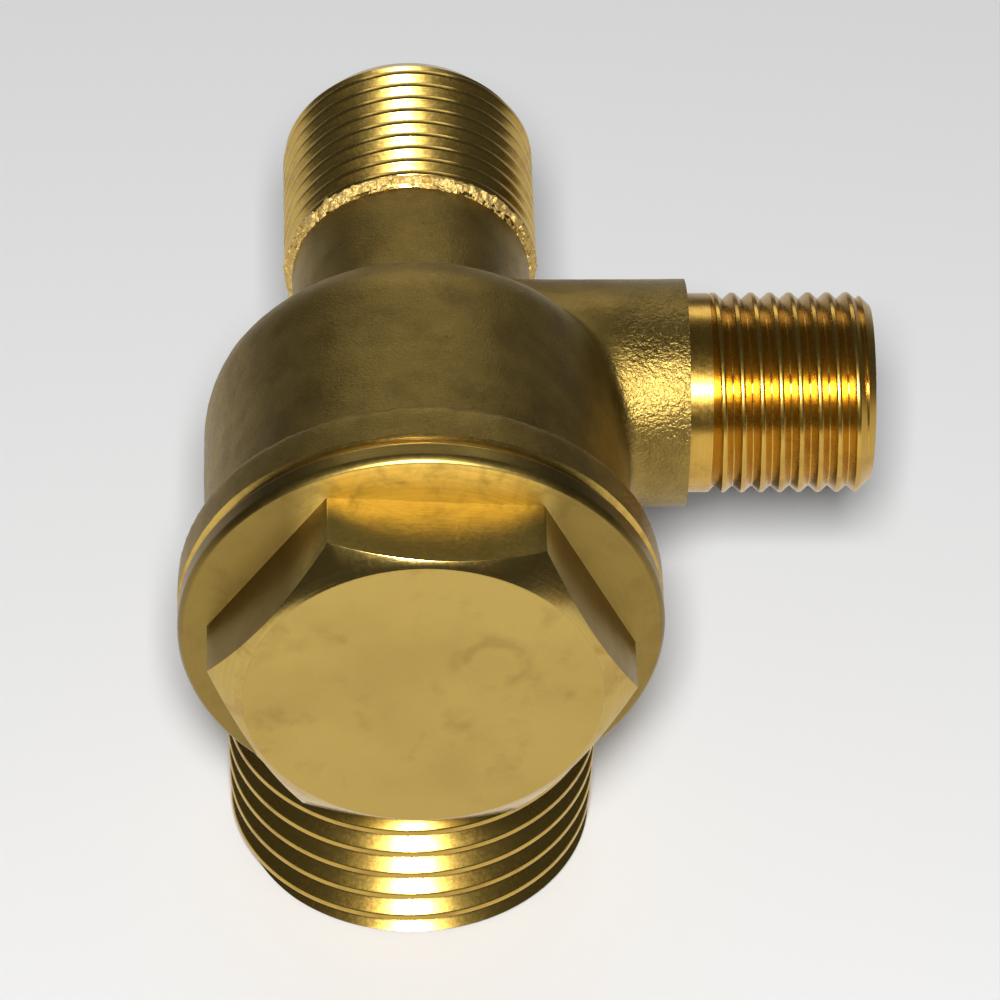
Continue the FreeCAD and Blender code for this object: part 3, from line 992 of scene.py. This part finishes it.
@dataclass
class ValveBody:
    """The forged body with its three threaded ports, in metres.

    Args:
        skin: finish of the forging's own surface.
        bright: finishes of the machined surfaces, by the axis they were turned about.
        torn: finish of the torn metal at the inlet thread's foot.
        barrel, collar, neck, boss, column: radii of the forging's turned masses.
        shoulder_y: where the barrel's round shoulder ends, past the side port's axis.
        voxel, easing: how finely the masses are melted together, and how often they are eased.
        passage_tops: how far below the main axis the tank port's two passages begin.
        mouth: radius of the chamber's open end.
        chamber: radius of each wider step of the chamber, and how far towards the cap it begins.
    """

    skin: Coat
    bright: dict[Along, Coat]
    torn: Coat
    barrel: float = 11.66 * MM
    collar: float = 13.1 * MM
    collar_width: float = 2.8 * MM
    collar_bevel: float = 0.22 * MM
    shoulder_y: float = 0.8 * MM
    shoulder_round: float = 4.25 * MM
    neck: float = 6.7 * MM
    neck_round: float = 1.6 * MM
    boss: float = 6.33 * MM
    boss_end: float = 15.0 * MM
    column: float = 10.1 * MM
    voxel: float = 0.3 * MM
    easing: int = 14
    inlet_bore: float = 4.25 * MM
    side_bore: float = 2.5 * MM
    tank_bore: float = 6.0 * MM
    passage: float = 5.0 * MM
    passage_tops: Point = (6.3 * MM, 10.0 * MM)
    mouth: float = 11.2 * MM
    chamber: tuple[Point, ...] = (
        (5.5 * MM, 2.8 * MM),
        (8.0 * MM, 4.6 * MM),
        (9.0 * MM, 11.4 * MM),
        (10.9 * MM, 15.4 * MM),
    )
    inlet: Thread = field(
        default_factory=lambda: Thread(
            7.144 * MM, INCH / 24, 9.7 * MM, 20.9 * MM, 6.1 * MM, 1.5 * MM, foot=6.68 * MM, land=0.2
        )
    )
    side: Thread = field(
        default_factory=lambda: Thread(
            5.556 * MM, INCH / 24, 16.2 * MM, 25.3 * MM, 4.85 * MM, 0.75 * MM, depth=0.34, land=0.11
        )
    )
    tank: Thread = field(
        default_factory=lambda: Thread(
            10.66 * MM, INCH / 14, 13.7 * MM, 26.6 * MM, 9.9 * MM, 0.9 * MM, taper=1 / 32, depth=0.46
        )
    )

    def build(self) -> Piece:
        """Builds, dresses and mounts the whole body.

        Returns:
            The finished piece.
        """
        body = Bench.coat(self.forging(), self.coats(), 0)
        for port in (self.inlet_port(), self.torn_edge(), self.side_port(), self.tank_port()):
            Bench.combine(body, port, Join.ADD)
        for bore in self.bores():
            Bench.combine(body, bore, Join.CUT)
        Bench.close(body)
        Bench.shade(body, 30.0)
        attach(body, "body")
        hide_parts("valve_body")
        return body

    def coats(self) -> list[Coat]:
        """Returns the row of materials that all parts of the body share."""
        return [self.skin, *self.bright.values(), self.torn]

    def machined(self, part: Piece, along: Along, origin: Vector) -> Piece:
        """Lays a turned part or cutter on its axis, in that axis's finish.

        Args:
            part: the part, about its own zero.
            along: the axis it was turned about.
            origin: where its zero goes.

        Returns:
            The same part.
        """
        Bench.coat(part, self.coats(), 1 + list(self.bright).index(along))
        return Bench.lay(part, origin, along)

    def forging(self) -> Piece:
        """Melts the turned masses together, eases them and cuts their ends flat.

        Returns:
            The forging.
        """
        side_y = LAYOUT.side_y
        joint = side_y - LAYOUT.joint_y
        turn_round = self.shoulder_round
        neck_fall = self.neck_round
        top = self.shoulder_y
        points: list[Point] = [(0.0, -joint - MM), (self.collar, -joint - MM)]
        points += [(self.collar, -joint + self.collar_width), (self.barrel, -joint + self.collar_width)]
        points += arc((self.barrel - turn_round, top - turn_round), turn_round, 0, 84, 12)
        points += arc((self.neck + neck_fall, top + neck_fall), neck_fall, 262, 180, 8)
        points += [(self.neck, self.inlet.start + 0.6 * MM), (0.0, self.inlet.start + 0.6 * MM)]
        body = Bench.turned("valve_body_visual", points)
        Bench.lay(body, LAYOUT.on_main(side_y), Along.INLET)
        boss = Bench.turned(
            "boss", [(0.0, 0.0), (self.boss, 0.0), (self.boss, self.boss_end + MM), (0.0, self.boss_end + MM)]
        )
        Bench.lay(boss, LAYOUT.on_main(side_y), Along.SIDE)
        stop = self.tank.start + 0.4 * MM
        column = Bench.turned("column", [(0.0, 0.0), (self.column, 0.0), (self.column, stop), (0.0, stop)])
        Bench.lay(column, Vector((0, 0, LAYOUT.main_height)), Along.TANK)
        Bench.join(body, [boss, column])
        Bench.modify(body, "REMESH", mode="VOXEL", voxel_size=self.voxel, use_smooth_shade=True)
        Bench.modify(body, "SMOOTH", factor=0.5, iterations=self.easing)
        # a die-struck surface is slightly uneven, widely and finely
        Bench.roughen(body, "die_marks", 4.2 * MM, 0.10 * MM)
        Bench.roughen(body, "scale_marks", 0.9 * MM, 0.035 * MM)
        Bench.trim(body, Vector((self.boss_end, 0, 0)), Vector((1, 0, 0)))
        Bench.trim(body, Vector((0, LAYOUT.joint_y, 0)), Vector((0, -1, 0)))
        return body

    def inlet_port(self) -> Piece:
        """Returns the threaded rod that becomes the inlet port."""
        return self.machined(self.inlet.rod("inlet_port"), Along.INLET, LAYOUT.on_main(LAYOUT.side_y))

    def torn_edge(self) -> Piece:
        """Roughens a ring of torn metal, where the die ran out at the inlet thread's foot.

        Returns:
            The ring.
        """
        start, foot, crest = self.inlet.start, self.inlet.foot, self.inlet.crest
        inside = foot - 0.5 * MM
        steps = 9
        slope = [
            (foot + (crest - foot) * count / steps, start - 0.04 * MM + 0.5 * MM * count / steps)
            for count in range(steps + 1)
        ]
        points = [(inside, start + 0.05 * MM), *slope]
        points += [(crest - 0.1 * MM, start + 0.75 * MM), (inside, start + 0.75 * MM)]
        ring = Bench.turned("torn_edge", points, closed=True, steps=3 * ROUND)
        Bench.roughen(ring, "torn_grain", 0.28 * MM, 0.30 * MM)
        Bench.roughen(ring, "torn_fringe", 0.8 * MM, 0.16 * MM)
        Bench.coat(ring, self.coats(), len(self.bright) + 1)
        return Bench.lay(ring, LAYOUT.on_main(LAYOUT.side_y), Along.INLET)

    def side_port(self) -> Piece:
        """Makes the side port: a plain turned collar out of the boss, then the threads.

        Returns:
            The port, on its axis.
        """
        port = self.side.rod("side_port")
        start, crest, root = self.side.start, self.side.crest, self.boss_end - 1.5 * MM
        collar = Bench.turned("side_collar", [
            (0.0, root),
            (crest - 0.02 * MM, root),
            (crest - 0.02 * MM, start + 0.1 * MM),
            (crest - 0.45 * MM, start + 0.5 * MM),
            (0.0, start + 0.5 * MM),
        ])
        Bench.combine(port, collar, Join.ADD)
        return self.machined(port, Along.SIDE, LAYOUT.on_main(LAYOUT.side_y))

    def tank_port(self) -> Piece:
        """Returns the tapered threaded rod that becomes the tank port."""
        return self.machined(self.tank.rod("tank_port"), Along.TANK, Vector((0, 0, LAYOUT.main_height)))

    def bores(self) -> list[Piece]:
        """Makes the cutters for the chamber and the three passages.

        Returns:
            The cutters, each on its axis.
        """
        joint = LAYOUT.side_y - LAYOUT.joint_y
        inlet_end = LAYOUT.inlet_end - LAYOUT.side_y
        outside, spare = self.collar + 1.6 * MM, 0.6 * MM
        radius = self.inlet_bore
        points = [(0.0, inlet_end + MM), (radius + 1.05 * MM, inlet_end + MM), (radius, inlet_end - 0.5 * MM)]
        for wider, reach in self.chamber:
            points += [(radius, -reach), (wider, -reach)]
            radius = wider
        chamber = Bench.turned("chamber", [
            *points,
            (self.mouth, -joint),
            (self.collar - self.collar_bevel - spare, -joint),
            (self.collar + spare, -joint + self.collar_bevel + spare),
            (outside, -joint + 1.6 * MM),
            (outside, -joint - MM),
            (0.0, -joint - MM),
        ])
        self.machined(chamber, Along.INLET, LAYOUT.on_main(LAYOUT.side_y))
        side_end, side_mouth = LAYOUT.side_end, self.side_bore + 0.7 * MM
        side = Bench.turned("side_passage", [
            (0.0, 0.0),
            (self.side_bore, 0.0),
            (self.side_bore, side_end - 0.4 * MM),
            (side_mouth, side_end + 0.3 * MM),
            (side_mouth, side_end + MM),
            (0.0, side_end + MM),
        ])
        self.machined(side, Along.SIDE, LAYOUT.on_main(LAYOUT.side_y))
        height, (narrow_top, wide_top) = LAYOUT.main_height, self.passage_tops
        tank_mouth = self.tank_bore + 0.9 * MM
        tank = Bench.turned("tank_passage", [
            (0.0, narrow_top),
            (self.passage, narrow_top),
            (self.passage, wide_top),
            (self.tank_bore, wide_top),
            (self.tank_bore, height - 0.7 * MM),
            (tank_mouth, height + 0.2 * MM),
            (tank_mouth, height + MM),
            (0.0, height + MM),
        ])
        self.machined(tank, Along.TANK, Vector((0, 0, height)))
        return [chamber, side, tank]


# === the hexagon cap


@dataclass
class HexCap:
    """The screwed cap with its flange, hexagon and hollow threaded shank, in metres.

    Args:
        metal: finish of its turned and milled faces.
        face: finish of its flat front.
        bevel: finish of the turned bevel round the front.
        rim_ease: size of the flats that ease the flange's front edge.
        front_circle: radius of the round front face.
        bevel_drop: how far back the bevel reaches at the hexagon's corners.
        twist: how far the hexagon is turned, in degrees, from one flat on top.
        edge: how much the sharp edges are broken.
        neck: radius of the relief groove behind the threads.
        pocket, bush: radii of the spring pocket and of the guide bush's seat.
        pocket_reach: how far from the side port's axis the pocket's floor lies.
    """

    metal: Coat
    face: Coat
    bevel: Coat
    flange: float = 13.1 * MM
    thickness: float = 1.5 * MM
    rim_ease: float = 0.13 * MM
    rear_bevel: float = 0.22 * MM
    across_flats: float = 20.0 * MM
    front_circle: float = 9.6 * MM
    bevel_drop: float = 1.3 * MM
    twist: float = -3.5
    edge: float = 0.09 * MM
    neck: float = 8.2 * MM
    pocket: float = 5.2 * MM
    bush: float = 2.9 * MM
    pocket_reach: float = 20.2 * MM
    shank: Thread = field(
        default_factory=lambda: Thread(8.92 * MM, 1.0 * MM, 1.5 * MM, 5.55 * MM, 8.3 * MM, 0.6 * MM)
    )

    def build(self) -> Piece:
        """Builds, dresses and mounts the cap.

        Returns:
            The finished piece.
        """
        cap = self.head()
        Bench.combine(cap, self.flange_disc(), Join.ADD)
        self.soften(cap)
        Bench.combine(cap, self.shank_rod(), Join.ADD)
        Bench.combine(cap, self.hollow(), Join.CUT)
        Bench.lay(cap, LAYOUT.on_main(LAYOUT.joint_y), Along.CAP)
        Bench.coat(cap, [self.metal, self.face, self.bevel], 0)
        for polygon in cap.data.polygons:
            depth = polygon.center.y - LAYOUT.cap_front
            if depth < 0.02 * MM:
                polygon.material_index = 1
            elif depth < self.bevel_drop and polygon.normal.y < -0.4:
                polygon.material_index = 2
        Bench.close(cap)
        Bench.shade(cap, 24.0)
        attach(cap, "cap")
        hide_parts("hex_cap")
        return cap

    def head(self) -> Piece:
        """Makes the hexagon, with its corners turned back to a round front face.

        Returns:
            The head, about the joint face's centre.
        """
        front = LAYOUT.joint_y - LAYOUT.cap_front
        corner = self.across_flats / math.sqrt(3)
        bpy.ops.object.select_all(action="DESELECT")
        bpy.ops.mesh.primitive_cylinder_add(
            vertices=6,
            radius=corner,
            depth=front - 0.5 * MM,
            location=(0, 0, (front + 0.5 * MM) / 2),
            rotation=(0, 0, math.radians(30 + self.twist)),
        )
        head = Bench.named("hex_cap_visual")
        bpy.ops.object.transform_apply(location=True, rotation=True, scale=True)
        slope = self.bevel_drop / (corner - self.front_circle)
        wide = corner + 2 * MM
        blank = Bench.turned("head_blank", [
            (0.0, 0.0),
            (wide, 0.0),
            (wide, front - slope * (wide - self.front_circle)),
            (self.front_circle, front),
            (0.0, front),
        ])
        Bench.combine(head, blank, Join.KEEP, "EXACT")
        return head

    def flange_disc(self) -> Piece:
        """Makes the flange, its rim eased at the front and bevelled at the joint.

        Returns:
            The flange.
        """
        ease = self.rim_ease
        return Bench.turned("flange_disc", [
            (0.0, 0.0),
            (self.flange - self.rear_bevel, 0.0),
            (self.flange, self.rear_bevel),
            (self.flange, self.rear_bevel + ease),
            (self.flange, self.thickness - 4 * ease),
            (self.flange, self.thickness - 3 * ease),
            (self.flange - ease, self.thickness - ease),
            (self.flange - 2 * ease, self.thickness),
            (0.0, self.thickness),
        ])

    def soften(self, cap: Piece) -> None:
        """Breaks the cap's sharp edges slightly, as a deburring pass does.

        Args:
            cap: the head and flange.
        """
        Bench.modify(
            cap, "BEVEL", width=self.edge, segments=2, limit_method="ANGLE", angle_limit=math.radians(24)
        )

    def shank_rod(self) -> Piece:
        """Makes the threaded shank, which points back into the body, with its relief groove.

        Returns:
            The shank.
        """
        rod = self.shank.rod("shank")
        low, high = -0.4 * MM, 1.9 * MM
        neck = Bench.turned("shank_neck", [(0.0, low), (self.neck, low), (self.neck, high), (0.0, high)])
        Bench.combine(rod, neck, Join.ADD)
        return Bench.lay(rod, Vector((0, 0, 0)), Along.TANK)

    def hollow(self) -> Piece:
        """Makes the cutter for the spring pocket and the seat of the guide bush.

        Returns:
            The cutter.
        """
        depth = LAYOUT.joint_y - (LAYOUT.side_y - self.pocket_reach)
        return Bench.turned("pocket", [
            (0.0, -7.0 * MM),
            (self.pocket, -7.0 * MM),
            (self.pocket, depth),
            (self.bush, depth),
            (self.bush, depth + 1.2 * MM),
            (0.0, depth + 1.2 * MM),
        ])


# === pieces inside


@dataclass
class Spring:
    """The compression spring, with closed end coils ground flat, in metres.

    Args:
        metal: finish of the wire.
        wire: the wire's radius.
        coil: radius of the coils, at the wire's middle.
        live_turns: how many turns stand apart, between one closed turn at each end.
        gap: how far short of the poppet it stops.
        lift: how far the poppet presses it together; not used.
    """

    metal: Coat
    wire: float = 0.55 * MM
    coil: float = 3.9 * MM
    live_turns: int = 3
    gap: float = 0.03 * MM
    lift: float = 2.5 * MM

    def build(self) -> Piece:
        """Builds the spring by sweeping a ring of wire.

        Returns:
            The finished piece.
        """
        low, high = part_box("spring")
        length = high[1] - low[1]
        closed = 2.04 * self.wire
        spring = self.coils("spring_visual", 0.0, 1, closed)
        middle = self.coils("live_coils", closed, self.live_turns, length - 2 * closed)
        last = self.coils("last_coil", length - closed, 1, closed)
        Bench.join(spring, [middle, last])
        with Bench.edit(spring):
            bpy.ops.mesh.remove_doubles(threshold=TOUCHING)
            bpy.ops.mesh.select_all(action="DESELECT")
            bpy.ops.mesh.select_non_manifold(extend=False, use_boundary=True, use_wire=False)
            bpy.ops.mesh.fill_holes(sides=0)
        Bench.trim(spring, Vector((0, 0, self.gap)), Vector((0, 0, -1)))
        Bench.trim(spring, Vector((0, 0, length)), Vector((0, 0, 1)))
        Bench.lay(spring, LAYOUT.on_main(high[1]), Along.CAP)
        spring.data.materials.append(self.metal)
        Bench.shade(spring, 35.0)
        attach(spring, "cap_stack")
        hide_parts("spring")
        tuple(LAYOUT.on_main(low[1]))
        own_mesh(spring)
        return spring

    def coils(self, name: str, base: float, turns: int, rise: float) -> Piece:
        """Sweeps a ring of wire through whole turns.

        Args:
            name: the object's name.
            base: the height where it starts.
            turns: how many turns it makes.
            rise: how far it climbs in all.

        Returns:
            The open tube of wire.
        """
        bpy.ops.object.select_all(action="DESELECT")
        bpy.ops.mesh.primitive_circle_add(
            vertices=16, radius=self.wire, location=(self.coil, 0, base), rotation=(math.pi / 2, 0, 0)
        )
        tube = Bench.named(name)
        bpy.ops.object.transform_apply(location=True, rotation=True, scale=True)
        Bench.screwed(tube, turns, rise, 48, merge=False)
        return tube


def dress(node: str, material: Coat) -> None:
    """Gives a CAD node one material in place of its own.

    Args:
        node: the node's name.
        material: the material.
    """
    piece = frame["nodes"][node]
    piece.data.materials.clear()
    piece.data.materials.append(material)


# === studio


@dataclass
class Studio:
    """Floor, lights and camera.

    Args:
        lens: the camera's lens in millimetres.
        camera: where the camera stands.
        right: the camera's own right.
        up: the camera's own up.
    """

    lens: float = 252.0
    camera: tuple[float, float, float] = (-0.009652, -0.274279, 0.295717)
    right: tuple[float, float, float] = (0.99930, -0.02955, 0.02272)
    up: tuple[float, float, float] = (0.00462, 0.70300, 0.71117)

    def build(self) -> None:
        """Sets up everything that isn't part of the valve."""
        self.floor()
        self.sky()
        self.lamps()
        self.viewpoint()

    def floor(self) -> None:
        """Lays a pale floor under the tank port, a little below the threads."""
        bpy.ops.object.select_all(action="DESELECT")
        bpy.ops.mesh.primitive_plane_add(size=6.0, location=(0, 0, -0.2 * MM))
        floor = Bench.named("floor")
        recipe = Recipe("pale_floor")
        haze = recipe.noise(0.4)
        colour = recipe.mix(haze, rgba((0.86, 0.86, 0.86)), rgba((0.82, 0.82, 0.82)))
        floor.data.materials.append(recipe.surface(Base_Color=colour, Roughness=0.7))

    def sky(self) -> None:
        """Fills the room with a dim, even light."""
        world = bpy.data.worlds.new("room")
        world.use_nodes = True
        background = world.node_tree.nodes["Background"]
        background.inputs["Color"].default_value = (0.9, 0.95, 1.0, 1.0)
        background.inputs["Strength"].default_value = 0.06
        bpy.context.scene.world = world

    def lamp(self, name: str, place: Sequence[float], size: Sequence[float], power: float) -> None:
        """Hangs one soft box that faces the valve.

        Args:
            name: the lamp's name.
            place: where it hangs, in metres.
            size: its width and height.
            power: its power in watts.
        """
        bpy.ops.object.select_all(action="DESELECT")
        bpy.ops.object.light_add(type="AREA", location=place)
        lamp = bpy.context.active_object
        lamp.name = name
        lamp.data.shape = "RECTANGLE"
        lamp.data.size, lamp.data.size_y = size
        lamp.data.energy = power
        lamp.rotation_mode = "QUATERNION"
        target = LAYOUT.on_main(0.0)
        lamp.rotation_quaternion = (target - Vector(place)).to_track_quat("-Z", "Y")
        lamp.visible_camera = False

    def lamps(self) -> None:
        """Hangs the soft boxes."""
        self.lamp("key_box", (-0.014, -0.30, 0.355), (0.055, 0.055), 2.5)
        self.lamp("back_box", (0.0, 0.9, 0.52), (0.9, 0.35), 1.6)

    def viewpoint(self) -> None:
        """Sets the camera where the valve is seen from the front, from well above."""
        bpy.ops.object.camera_add(location=self.camera)
        camera = bpy.context.active_object
        right, up = Vector(self.right), Vector(self.up)
        turn = Matrix((right, up, right.cross(up))).transposed()
        camera.rotation_mode = "QUATERNION"
        camera.rotation_quaternion = turn.to_quaternion()
        camera.data.lens = self.lens
        camera.data.sensor_width = 36.0
        camera.data.clip_start = 0.01
        camera.data.clip_end = 20.0
        bpy.context.scene.camera = camera


# === the whole valve


def main() -> None:
    """Builds every piece in turn and reports it."""
    logging.basicConfig(level=logging.INFO, format="%(name)s: %(message)s")
    side_centre = LAYOUT.on_main(LAYOUT.side_y)
    bright = {
        Along.INLET: TurnedBrass(
            "inlet_brass", Along.INLET, tuple(side_centre), colour=(0.62, 0.42, 0.10), gloss=0.20, dull=0.27
        ).make(),
        Along.SIDE: TurnedBrass(
            "side_brass", Along.SIDE, tuple(side_centre), colour=(0.60, 0.365, 0.07), gloss=0.22, dull=0.30
        ).make(),
        Along.TANK: TurnedBrass(
            "tank_brass",
            Along.TANK,
            (0.0, 0.0, LAYOUT.main_height),
            colour=(0.60, 0.40, 0.085),
            gloss=0.22,
            dull=0.29,
        ).make(),
    }
    cap_brass = TurnedBrass(
        "cap_brass",
        Along.CAP,
        tuple(side_centre),
        colour=(0.84, 0.60, 0.155),
        stain_and_shade=(0.23, 0.15, 0.036),
        gloss=0.30,
        dull=0.40,
        # painted shade on the cap's left and right sides
        painted_side_shade=0.9,
        rim=12.75 * MM,
    ).make()
    bevel_brass = TurnedBrass(
        "bevel_brass", Along.CAP, tuple(side_centre), colour=(0.55, 0.39, 0.11), gloss=0.16, dull=0.22
    ).make()
    inner_brass = TurnedBrass("inner_brass", Along.CAP, tuple(side_centre)).make()
    face = CapFace((3.6 * MM, LAYOUT.cap_front, LAYOUT.main_height + 2.6 * MM)).make()
    rubber, steel, wire = Rubber().make(), Stock("stainless_steel").make(), Stock("spring_steel").make()
    ptfe = Stock(
        "ptfe",
        tones=((0.80, 0.79, 0.75), (0.68, 0.67, 0.62)),
        haze=1.4 * MM,
        marks=(0.12 * MM, 2.0, 0.6),
        stretch=(0.3, 1.0, 0.3),
        rough=(0.35, 0.5),
        depth=0.005 * MM,
        metallic=0.0,
    ).make()
    for piece in (
        ValveBody(ForgedBrass().make(), bright, TornBrass().make()).build(),
        HexCap(cap_brass, face, bevel_brass).build(),
        Spring(wire).build(),
    ):
        corners = sum(len(polygon.vertices) - 2 for polygon in piece.data.polygons)
        log.info("%s: %d triangles", piece.name, corners)
    for node, material in (
        ("cap_o_ring", rubber),
        ("seal_disc", rubber),
        ("seat_ring", inner_brass),
        ("poppet", inner_brass),
        ("seal_washer", steel),
        ("seal_screw", steel),
        ("spring_plate", steel),
        ("adjusting_shims", steel),
        ("guide_bush", ptfe),
    ):
        dress(node, material)
        log.info("%s: dressed", node)
    Studio().build()
    bpy.context.scene.view_settings.view_transform = "Standard"


if __name__ == "__main__":
    main()
